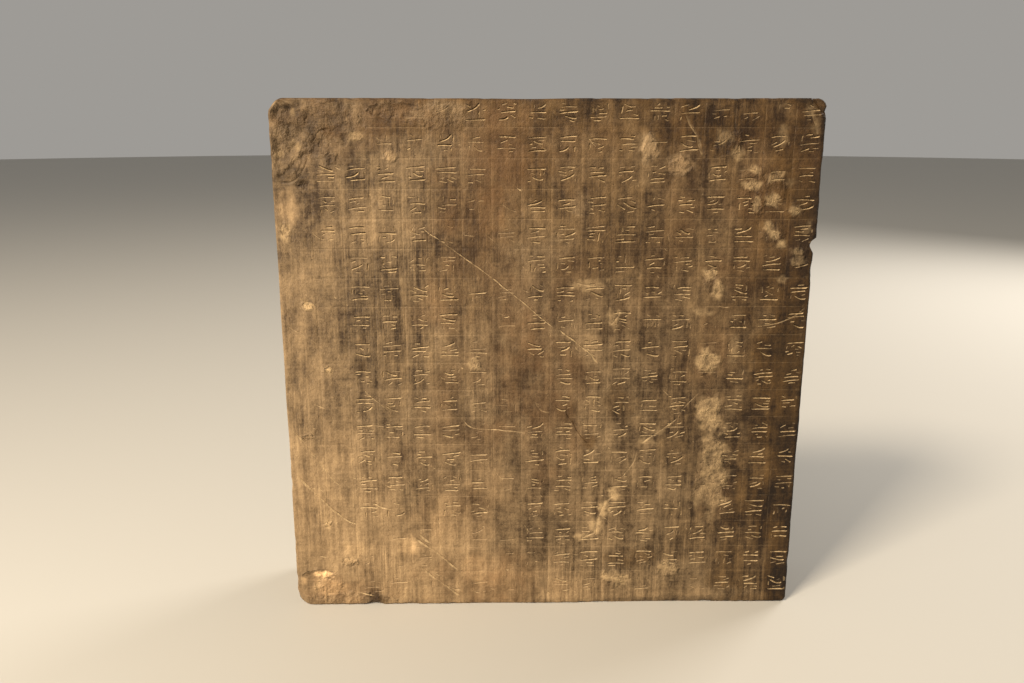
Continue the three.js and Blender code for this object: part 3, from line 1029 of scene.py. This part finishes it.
def wall_stations(thickness, arris):
    """Inset from the outline and place through the thickness of each ring of the sides: a
    quarter round at the face, the flat, and a quarter round at the back."""
    angle = np.radians([0.0, 30.0, 60.0, 90.0])
    inset = arris * (1 - np.sin(angle))
    depth = arris * (1 - np.cos(angle))
    flat = np.linspace(arris, thickness - arris, WALL_ROWS)[1:-1]
    inset = np.concatenate([inset, flat * 0, inset[::-1]])
    place = np.concatenate([depth, flat, thickness - depth[::-1]])
    return inset, place - thickness / 2


def lose_shell(points, at, out, along, half_long, half_across, depth, seed):
    """Moves the points inside a long egg straight back onto its far side, as a shell-shaped
    break leaves them. The egg's middle stands outside the surface by the depth, so that it
    meets the surface at a slope. Its size is made uneven by noise."""
    out = np.array(out, float)
    out /= np.linalg.norm(out)
    across = np.cross(out, along)
    across /= np.linalg.norm(across)
    long = np.cross(across, out)
    off = points - (np.array(at) + out * depth)
    uneven = 1.0 + 0.12 * fractal(points[:, 0] + points[:, 1], points[:, 2], 7.0, seed, 2)
    u = off @ long / (half_long / EGG_RIM) * uneven
    v = off @ across / (half_across / EGG_RIM) * uneven
    w = off @ out / (2 * depth)
    hit = u ** 2 + v ** 2 + w ** 2 < 1.0
    floor = -np.sqrt(np.clip(1.0 - u ** 2 - v ** 2, 0.0, 1.0))
    move = np.where(hit, (floor - w) * 2 * depth, 0.0)
    return points + move[:, None] * out


def lose_chips(points, sizes):
    """Small chips at random along every arris, front and back."""
    random = np.random.default_rng(71)
    half, height = sizes.width / MM / 2, sizes.height / MM
    thick = sizes.thickness / MM / 2
    right = half - RIGHT_SET_BACK
    runs = (
        ((-half, 14), (-half, height - 16), (-1, 0)),
        ((right, 8), (right, RIGHT_STEP[0]), (1, 0)),
        ((half, RIGHT_STEP[1]), (half, height - 14), (1, 0)),
        ((-half + 14, height), (half - 14, height), (0, 1)),
        ((-half + 14, 0), (half - 14, 0), (0, -1)),
    )
    for side, spacing in CHIP_SPACING:
        for start, end, out in runs:
            start, end, out = (np.array(p, float) for p in (start, end, out))
            length = np.hypot(*(end - start))
            along = (end - start) / length
            for i in range(int(length / spacing)):
                run = (i + random.random()) * spacing
                size = 1.8 + 6.5 * random.random() ** 3
                deep = random.uniform(0.35, 0.9) * (0.5 + size / 8)
                lean = random.uniform(0.6, 1.5)
                place = start + along * run - out * 0.7
                points = lose_shell(
                    points, (place[0], side * (thick - 0.7), place[1]),
                    (out[0], side * lean, out[1]), (along[0], 0, along[1]),
                    size, 0.6 * size, deep, 72 + i)
    return points


# The flat sheet that the colours are baked on: the share of it that the face takes, the height
# of the strip of each side, and the gap between them.
FACE_SHARE = 0.74
STRIP = 0.065
SHEET_GAP = 0.004


def sheet_of_panel(corners, width, height, left, right):
    """Corners of the face or the back on the sheet: x and z stretched to fit its panel."""
    share = corners / (width, height) + (0.5, 0.0)
    low = np.array([left + SHEET_GAP, SHEET_GAP])
    high = np.array([right - SHEET_GAP, FACE_SHARE - SHEET_GAP])
    return low + share * (high - low)


def sheet_of_walls(ring, inset, place, width, height):
    """Corners of the sides on the sheet: each segment of the outline goes to the strip of
    its nearest side, by how far along it lies and how far through the thickness."""
    follow = np.roll(ring, -1, axis=0)
    middle = (ring + follow) / 2
    side = np.stack([middle[:, 1], width / 2 - middle[:, 0], height - middle[:, 1],
                     width / 2 + middle[:, 0]]).argmin(0)
    through = np.concatenate([[0.0], np.cumsum(np.hypot(np.diff(inset), np.diff(place)))])
    through /= through[-1]

    def at(points, rows):
        along = np.where(side % 2 == 0, points[:, 0] / width + 0.5, points[:, 1] / height)
        u = SHEET_GAP + np.clip(along, 0.0, 1.0) * (FACE_SHARE - 2 * SHEET_GAP)
        v = FACE_SHARE + side * STRIP + rows[:, None] * (STRIP - SHEET_GAP)
        return np.stack(np.broadcast_arrays(u[None], v), 2)

    upper, lower = through[:-1], through[1:]
    first = np.stack([at(ring, upper), at(ring, lower), at(follow, lower)], 2)
    second = np.stack([at(ring, upper), at(follow, lower), at(follow, upper)], 2)
    return np.concatenate([first.reshape(-1, 3, 2), second.reshape(-1, 3, 2)])


def build_slab(sizes):
    """The whole stone as one closed skin: the face and the back are triangulated between
    their rings, the sides are a grid of rings, and then pieces are lost from it. Returns the
    carved face, the points, the triangles, how many are the face's, and their flat sheet."""
    width, height, thickness = sizes.width / MM, sizes.height / MM, sizes.thickness / MM
    ring = outline(width, height, RING_STEP)
    count = len(ring)
    inward = inward_normals(ring)
    run = np.arange(count) * RING_STEP
    inset, place = wall_stations(thickness, sizes.arris / MM)
    stations = len(inset)

    face = Face(sizes)
    front_ring = ring + inward * inset[0]
    places, on_ring, front = face.sketch(front_ring).triangles()
    back_sketch = Sketch(ring + inward * inset[-1])
    grid = jittered(width, height, BACK_GRAIN, 0.2, 63)
    back_sketch.scatter(grid[from_edge(grid[:, 0], grid[:, 1], sizes) > BACK_CLEARANCE])
    back_places, back_on_ring, back = back_sketch.triangles()

    # The rings of the sides, dressed inward between the arrises but not on the underside.
    grid_run, grid_y = np.meshgrid(run, place)
    dressed = np.clip(side_tooling(grid_run, grid_y, 51), 0.0, 1.5)
    dressed *= smooth((thickness / 2 - sizes.arris / MM - np.abs(grid_y)) / 6.0)
    dressed *= smooth(ring[:, 1] / 6.0)[None]
    shift = inset[:, None] + dressed
    walls = ring[None] + inward[None] * shift[..., None]
    walls = np.stack([walls[..., 0], grid_y, walls[..., 1]], 2).reshape(-1, 3)

    front_new = np.flatnonzero(on_ring < 0)
    back_new = np.flatnonzero(back_on_ring < 0)
    x, z = places[front_new].T
    front_points = np.stack([x, face.depth(x, z) - thickness / 2, z], 1)
    x, z = back_places[back_new].T
    hollow = furrows(x, z, width, height)
    dressing = np.clip(0.12 + 0.12 * fractal(x, z, 12.0, 47, 3), 0, 1)
    hollow += smooth(from_edge(x, z, sizes) / 8.0) * dressing
    back_points = np.stack([x, thickness / 2 - hollow, z], 1)

    sheet = np.concatenate([
        sheet_of_panel(places[front], width, height, 0.0, FACE_SHARE),
        sheet_of_walls(ring, inset, place, width, height),
        sheet_of_panel(back_places[back][:, ::-1], width, height, FACE_SHARE, 1.0),
    ])
    index = np.where(on_ring < 0, 0, on_ring)
    index[front_new] = len(walls) + np.arange(len(front_new))
    front = index[front]
    index = np.where(back_on_ring < 0, 0, back_on_ring + (stations - 1) * count)
    index[back_new] = len(walls) + len(front_new) + np.arange(len(back_new))
    back = index[back][:, ::-1]
    i = np.arange(count)
    j = np.roll(i, -1)
    rows = np.arange(stations - 1)[:, None] * count
    lower = np.stack([rows + i, rows + count + i, rows + count + j], 2).reshape(-1, 3)
    upper = np.stack([rows + i, rows + count + j, rows + j], 2).reshape(-1, 3)

    points = np.concatenate([walls, front_points, back_points])
    faces = np.concatenate([front, lower, upper, back])
    for at, out, along, half_long, half_across, depth in EDGE_BREAKS:
        at = (at[0], at[1] * thickness / 2, at[2])
        points = lose_shell(points, at, out, along, half_long, half_across, depth, 91)
    points = lose_chips(points, sizes)
    points[:, 2] = np.maximum(points[:, 2], 0.0)
    return face, points, faces, len(front), sheet


def check_closed(faces):
    """Stops the script unless every edge is shared by two faces that run along it in
    opposite directions."""
    edges = np.concatenate([faces[:, [0, 1]], faces[:, [1, 2]], faces[:, [2, 0]]])
    key = edges[:, 0] * (faces.max() + 1) + edges[:, 1]
    twin = edges[:, 1] * (faces.max() + 1) + edges[:, 0]
    if len(np.unique(key)) != len(key) or not np.array_equal(np.sort(key), np.sort(twin)):
        raise RuntimeError("the slab's skin isn't closed")


# ================================================================== the mesh and its tones
def add_attribute(mesh, name, values, domain="POINT"):
    """Stores one number for each point or face, for the stone's material to read."""
    attribute = mesh.attributes.new(name, "FLOAT", domain)
    attribute.data.foreach_set("value", np.asarray(values, np.float32))


def tone_attributes(mesh, face, points, faces, front_count):
    """Tones on the face's points, partly the stone's own and partly painted light and shade, and paleness
    on
    its triangles: a stroke's walls hold pale bruised stone and dust, a lower wall, which looks up, is
    painted paler still as light from above, and an upper wall, which looks down, is painted dark as shade."""
    x, z = points[:, 0], points[:, 2]
    on_face = smooth((-points[:, 1] - FACE_FADE[0]) / FACE_FADE[1])
    soft = {"ragged": 0.5, "softness": 1.7}
    tone_and_painted_light = patches(x, z, LIGHT, **soft) - patches(x, z, DARK, **soft, seed=6)
    tone_and_painted_light = tone_and_painted_light + patches(x, z, PALE, ragged=0.3, softness=0.45, seed=9)
    half = face.sizes.width / MM / 2
    height = face.sizes.height / MM
    # Painted shade: a dark band along the top and right edges of the face.
    rim = np.maximum(smooth((z - height + 3.2) / 2.4), smooth((x - half + 4.5) / 3.0))
    tone_and_painted_light = tone_and_painted_light - rim * (0.75 + 0.5 * fractal(x, z, 9.0, 7, 3))
    on_back = smooth((points[:, 1] - BACK_FADE[0]) / BACK_FADE[1])
    hollow = furrows(x, z, 2 * half, height)
    # On the back the tone is lifted by 0.25, and painted shade darkens the furrows by their depth.
    add_attribute(mesh, "tone_and_painted_light", tone_and_painted_light * on_face + on_back * (0.25 - 0.34 * hollow))
    add_attribute(mesh, "rubbed", on_face)
    add_attribute(mesh, "brown", patches(x, z, BROWN, **soft, seed=7) * on_face)
    buff = patches(x, z, BUFF, ragged=0.4, softness=0.5, seed=8)
    add_attribute(mesh, "buff", buff * on_face)
    # Painted shade: the deep broken ground and the pits are darkened by their depth.
    pit_shade = 0.6 * smooth((face.ground(x, z) - 0.7) / 1.6)
    for cx, cz, radius, deep in face.pits:
        reach = np.hypot(x - cx, z - cz) / radius
        pit_shade = np.maximum(pit_shade, (reach < 0.98) * min(1.0, 1.3 * deep))
    add_attribute(mesh, "pit_shade", pit_shade * on_face)
    add_attribute(mesh, "rough", face.broken(x, z) * on_face)
    corners = points[faces]
    middle = corners[:front_count].mean(1)
    _, pale = face.lines_at(middle[:, 0], middle[:, 2])
    normal = np.cross(corners[:front_count, 1] - corners[:front_count, 0],
                      corners[:front_count, 2] - corners[:front_count, 0])
    normal /= np.maximum(np.linalg.norm(normal, axis=1), 1e-9)[:, None]
    cut = np.zeros(len(faces))
    # Pale bruised stone and dust in the strokes, painted paler still on walls that look up as if lit from
    # above, and painted dark as shade on walls that look down.
    cut[:front_count] = pale * np.clip(0.36 + 1.4 * normal[:, 2], -0.75, 1.0)
    add_attribute(mesh, "cut", cut, "FACE")


def make_mesh(name, points, faces):
    """A mesh in metres from points in millimetres, smooth except at sharp edges."""
    mesh = bpy.data.meshes.new(name)
    mesh.vertices.add(len(points))
    mesh.vertices.foreach_set("co", (points * MM).ravel().astype(np.float32))
    mesh.loops.add(len(faces) * 3)
    mesh.loops.foreach_set("vertex_index", faces.ravel().astype(np.int32))
    mesh.polygons.add(len(faces))
    mesh.polygons.foreach_set("loop_start", np.arange(0, len(faces) * 3, 3, dtype=np.int32))
    mesh.polygons.foreach_set("use_smooth", np.ones(len(faces), bool))
    mesh.update(calc_edges=True)
    mesh.validate()
    mesh.set_sharp_from_angle(angle=SHARP_ANGLE)
    return mesh


# ================================================================== the stone
class Nodes:
    """Short calls for building a material's nodes."""

    def __init__(self, material):
        material.use_nodes = True
        self.tree = material.node_tree
        self.tree.nodes.clear()

    def add(self, kind, inputs=(), **settings):
        node = self.tree.nodes.new(kind)
        for key, value in settings.items():
            setattr(node, key, value)
        for key, value in dict(inputs).items():
            if isinstance(value, bpy.types.NodeSocket):
                self.tree.links.new(value, node.inputs[key])
            else:
                node.inputs[key].default_value = value
        return node

    def attribute(self, name):
        return self.add("ShaderNodeAttribute", attribute_name=name).outputs["Fac"]

    def noise(self, place, scale, detail=4.0, roughness=0.55):
        """Noise from about 0.25 to 0.75. scale is how many features a metre holds along X, Y
        and Z."""
        mapped = self.add("ShaderNodeMapping", {"Vector": place, "Scale": scale})
        inputs = {"Vector": mapped.outputs[0], "Scale": 1.0, "Detail": detail, "Roughness": roughness}
        return self.add("ShaderNodeTexNoise", inputs).outputs["Fac"]

    def spread(self, value, low, high, to_low=0.0, to_high=1.0):
        inputs = {"Value": value, "From Min": low, "From Max": high, "To Min": to_low, "To Max": to_high}
        return self.add("ShaderNodeMapRange", inputs).outputs[0]

    def maths(self, operation, first, second, third=0.0):
        inputs = {0: first, 1: second, 2: third}
        return self.add("ShaderNodeMath", inputs, operation=operation).outputs[0]

    def mix(self, factor, first, second, blend="MIX"):
        node = self.add("ShaderNodeMix", data_type="RGBA", blend_type=blend)
        for socket, value in ((node.inputs[0], factor), (node.inputs[6], first), (node.inputs[7], second)):
            if isinstance(value, bpy.types.NodeSocket):
                self.tree.links.new(value, socket)
            elif isinstance(value, (int, float)):
                socket.default_value = value
            else:
                socket.default_value = (*value, 1.0)
        return node.outputs[2]


def ruled_bands(nodes, axis, first, pitch):
    """Soft light bands about 5 mm wide that run along the ruled lines: the distance to the
    nearest line is a zigzag of the coordinate."""
    off = nodes.maths("SUBTRACT", axis, first)
    gap = nodes.maths("PINGPONG", off, pitch / 2)
    return nodes.spread(gap, 0.0005, 0.0036, 1.0, 0.0)


def stone_material(colours, sizes):
    """Dark limestone: a mix of deep and grey stone by clouds, mottling, light bands along the ruled lines
    and fine upright streaks on the face, made 2^tone times as bright, the tone being partly the stone's
    own and partly painted light and shade; then brown stains, buff fresh stone dimmed with the same
    painted light, painted shade in the pits and deep broken ground, and pale stone and dust in the
    lines, with painted light on their walls that look up and painted shade on those that look down."""
    material = bpy.data.materials.new("rubbed_limestone")
    nodes = Nodes(material)
    place = nodes.add("ShaderNodeTexCoord").outputs["Object"]
    clouds = nodes.noise(place, (16, 16, 13), 5.0)
    blotch = nodes.noise(place, (52, 52, 40), 4.0, 0.6)
    mottle = nodes.noise(place, (150, 150, 130), 4.0, 0.62)
    crumbs = nodes.noise(place, (310, 310, 310), 3.0, 0.6)
    combed = nodes.spread(nodes.noise(place, (13, 13, 9), 2.0), 0.42, 0.62)
    veils = nodes.noise(place, (165, 120, 15), 3.0)
    streaks = nodes.noise(place, (430, 120, 14), 3.0, 0.6)
    threads = nodes.noise(place, (1000, 300, 60), 2.0)
    rows = nodes.noise(place, (30, 120, 560), 2.0)
    grain = nodes.noise(place, (800, 800, 800), 2.0)
    axes = nodes.add("ShaderNodeSeparateXYZ", {"Vector": place})
    upright = ruled_bands(nodes, axes.outputs["X"], sizes.width / 2 - FIRST_RULE[0] * MM,
                          sizes.pitch + COLUMN_EXTRA * MM)
    level_band = ruled_bands(nodes, axes.outputs["Z"], sizes.height - FIRST_RULE[1] * MM, sizes.pitch)
    bands = nodes.maths("MULTIPLY_ADD", level_band, 0.6, upright)
    bands = nodes.maths("MULTIPLY", bands, nodes.spread(clouds, 0.35, 0.65, 0.0, 0.09))
    rubbed = nodes.attribute("rubbed")
    combed = nodes.maths("MULTIPLY", combed, rubbed)
    veiled = nodes.maths("ADD", nodes.spread(veils, 0.3, 0.7, -0.17, 0.17), bands)

    tone_and_painted_light = nodes.attribute("tone_and_painted_light")
    level = nodes.maths("MULTIPLY_ADD", tone_and_painted_light, 0.08, 0.35)
    calm = nodes.spread(tone_and_painted_light, 0.1, 0.9, 1.0, 0.5)
    level = nodes.maths("MULTIPLY_ADD", veiled, rubbed, level)
    for value, reach in ((clouds, 0.18), (blotch, 0.18), (mottle, 0.13), (crumbs, 0.08),
                         (rows, 0.06), (grain, 0.08)):
        level = nodes.maths("MULTIPLY_ADD", nodes.spread(value, 0.3, 0.7, -reach, reach), calm, level)
    combing = nodes.maths("ADD", nodes.spread(streaks, 0.3, 0.7, -0.15, 0.15),
                          nodes.spread(threads, 0.3, 0.7, -0.12, 0.12))
    level = nodes.maths("MULTIPLY_ADD", combing, combed, level)
    level = nodes.spread(level, 0.0, 1.0)
    colour = nodes.mix(level, colours.deep, colours.grey)
    # The tone brightens and darkens the colour: partly the stone's own, partly painted light, brighter
    # towards the lower left and darker towards the right. Darker places, painted shade among them, are
    # tinted warmer.
    colour = nodes.mix(1.0, colour, nodes.maths("POWER", 2.0, tone_and_painted_light), "MULTIPLY")
    warmth = nodes.spread(tone_and_painted_light, -0.1, -1.0, 0.0, 1.0)
    colour = nodes.mix(warmth, colour, nodes.mix(1.0, colour, colours.shade, "MULTIPLY"))

    patchy = nodes.noise(place, (30, 30, 22), 5.0, 0.65)
    stain = nodes.maths("MULTIPLY", nodes.attribute("brown"), nodes.spread(patchy, 0.35, 0.62, 0.1, 1.0))
    tinted = nodes.mix(1.0, colour, colours.brown, "OVERLAY")
    tinted = nodes.mix(0.45, tinted, colours.brown)
    colour = nodes.mix(nodes.maths("MULTIPLY", stain, 0.8), colour, tinted)
    fresh = nodes.maths("MULTIPLY", nodes.attribute("buff"), nodes.spread(mottle, 0.36, 0.56, 0.45, 1.0))
    fresh = nodes.maths("MULTIPLY", fresh, nodes.spread(crumbs, 0.3, 0.5, 0.6, 1.0))
    # The buff stone is dimmed with the tone, so it carries the painted light too.
    buff = nodes.mix(1.0, colours.buff, nodes.maths("POWER", 1.55, tone_and_painted_light), "MULTIPLY")
    colour = nodes.mix(nodes.maths("MULTIPLY", fresh, 0.85), colour, buff)
    # Painted shade in the pits and the deep broken ground.
    colour = nodes.mix(nodes.maths("MULTIPLY", nodes.attribute("pit_shade"), 0.7), colour, colours.deep)
    # Pale stone and dust in the strokes, with painted light on the walls that look up.
    pale_patches = nodes.spread(nodes.noise(place, (260, 260, 260), 3.0), 0.36, 0.6, 0.25, 1.0)
    cut = nodes.attribute("cut")
    dust_and_lit_walls = nodes.maths("MULTIPLY", nodes.spread(cut, 0.0, 1.0), pale_patches)
    colour = nodes.mix(nodes.maths("MULTIPLY", dust_and_lit_walls, 0.8), colour, colours.pale)
    # Painted shade: deep stone on the strokes' walls that look down.
    colour = nodes.mix(nodes.spread(cut, -0.7, 0.0, 0.85, 0.0), colour, colours.deep)

    rough = nodes.spread(mottle, 0.3, 0.7, 0.50, 0.70)
    rough = nodes.maths("MULTIPLY_ADD", fresh, 0.2, rough)
    height = nodes.maths("MULTIPLY", nodes.maths("MULTIPLY", streaks, 0.4), combed)
    height = nodes.maths("MULTIPLY_ADD", grain, 0.3, height)
    coarse = nodes.maths("MULTIPLY_ADD", nodes.attribute("rough"), 1.5, 1.0)
    lumps = nodes.maths("MULTIPLY_ADD", crumbs, 0.7, nodes.maths("MULTIPLY", mottle, 1.6))
    height = nodes.maths("MULTIPLY_ADD", lumps, coarse, height)
    bump = nodes.add("ShaderNodeBump", {"Height": height, "Strength": 0.9, "Distance": 0.0009})
    shader = nodes.add("ShaderNodeBsdfPrincipled", {
        "Base Color": colour, "Roughness": rough, "Specular IOR Level": 0.3,
        "Normal": bump.outputs[0]})
    nodes.add("ShaderNodeOutputMaterial", {"Surface": shader.outputs[0]})
    return material


# ================================================================== operators
class SLAB_OT_stone(bpy.types.Operator):
    """Build the inscribed slab"""

    bl_idname = "slab.stone"
    bl_label = "Inscribed slab"

    def execute(self, context):
        sizes = context.scene.slab_sizes
        face, points, faces, front_count, sheet = build_slab(sizes)
        check_closed(faces)
        mesh = make_mesh("tablet_stone", points, faces)
        flat = mesh.uv_layers.new(name="OFBake")
        flat.uv.foreach_set("vector", sheet.ravel().astype(np.float32))
        tone_attributes(mesh, face, points, faces, front_count)
        mesh.materials.append(stone_material(context.scene.slab_colours, sizes))
        stone = bpy.data.objects.new("tablet_stone", mesh)
        context.scene.collection.objects.link(stone)
        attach(stone, "root")
        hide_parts("tablet")
        return {"FINISHED"}


class SLAB_OT_stage(bpy.types.Operator):
    """Lay the floor, hang the lights and set the camera"""

    bl_idname = "slab.stage"
    bl_label = "Stage"

    def execute(self, context):
        scene = context.scene
        stage = scene.slab_stage
        sizes = scene.slab_sizes
        self.lay_floor(scene, stage)
        centre = Vector((0.0, 0.0, sizes.height / 2))
        reach = sizes.height
        powers = (stage.key_power, stage.fill_power, stage.back_power)
        for (name, place, size, colour), power in zip(LIGHTS, powers):
            self.hang_light(scene, name, centre + reach * Vector(place), centre, size * reach,
                            power, colour)
        world = bpy.data.worlds.new("studio")
        world.use_nodes = True
        background = world.node_tree.nodes["Background"]
        background.inputs["Color"].default_value = SKY_COLOUR
        background.inputs["Strength"].default_value = stage.sky
        scene.world = world
        scene.view_settings.view_transform = "Standard"
        self.set_camera(scene, stage, sizes)
        return {"FINISHED"}

    def lay_floor(self, scene, stage):
        """A plain round floor: one flat disc, at the height of the underside."""
        turn = np.linspace(0, 2 * math.pi, FLOOR_SIDES, endpoint=False)
        rim = FLOOR_RADIUS * np.stack([np.cos(turn), np.sin(turn), 0 * turn], 1)
        mesh = bpy.data.meshes.new("floor")
        mesh.from_pydata(rim.tolist(), [], [list(range(len(rim)))])
        material = bpy.data.materials.new("plain_floor")
        material.use_nodes = True
        shader = material.node_tree.nodes["Principled BSDF"]
        shader.inputs["Base Color"].default_value = (*stage.floor, 1.0)
        shader.inputs["Roughness"].default_value = 0.8
        mesh.materials.append(material)
        floor = bpy.data.objects.new("floor", mesh)
        scene.collection.objects.link(floor)

    def hang_light(self, scene, name, place, target, size, power, colour):
        """A square soft light that looks at the target."""
        light = bpy.data.lights.new(name, "AREA")
        light.size = size
        light.energy = power
        light.color = colour
        lamp = bpy.data.objects.new(name, light)
        lamp.location = place
        lamp.rotation_euler = (target - place).to_track_quat("-Z", "Y").to_euler()
        scene.collection.objects.link(lamp)

    def set_camera(self, scene, stage, sizes):
        """A little left of the middle, level with the top edge, looking slightly down."""
        camera = bpy.data.cameras.new("camera")
        camera.lens = stage.lens
        camera.clip_end = CAMERA_REACH
        view = bpy.data.objects.new("camera", camera)
        view.location = sizes.width * Vector(CAMERA_PLACE) - Vector((0.0, sizes.thickness / 2, 0.0))
        view.rotation_euler = (CAMERA_TILT, 0.0, CAMERA_TURN)
        scene.collection.objects.link(view)
        scene.camera = view


class SLAB_PT_panel(bpy.types.Panel):
    """The slab's settings and its two builders"""

    bl_idname = "SLAB_PT_panel"
    bl_label = "Inscribed slab"
    bl_space_type = "VIEW_3D"
    bl_region_type = "UI"
    bl_category = "Slab"

    def draw(self, context):
        scene = context.scene
        for group in (scene.slab_sizes, scene.slab_colours, scene.slab_stage):
            box = self.layout.box()
            for name in group.__annotations__:
                box.prop(group, name)
        self.layout.operator("slab.stone")
        self.layout.operator("slab.stage")


CLASSES = (
    SLAB_PG_sizes,
    SLAB_PG_colours,
    SLAB_PG_stage,
    SLAB_OT_stone,
    SLAB_OT_stage,
    SLAB_PT_panel,
)


def register():
    for made in CLASSES:
        bpy.utils.register_class(made)
    bpy.types.Scene.slab_sizes = bpy.props.PointerProperty(type=SLAB_PG_sizes)
    bpy.types.Scene.slab_colours = bpy.props.PointerProperty(type=SLAB_PG_colours)
    bpy.types.Scene.slab_stage = bpy.props.PointerProperty(type=SLAB_PG_stage)


def unregister():
    del bpy.types.Scene.slab_stage
    del bpy.types.Scene.slab_colours
    del bpy.types.Scene.slab_sizes
    for made in reversed(CLASSES):
        bpy.utils.unregister_class(made)


def main():
    register()
    bpy.ops.slab.stone()
    bpy.ops.slab.stage()


if __name__ == "__main__":
    main()
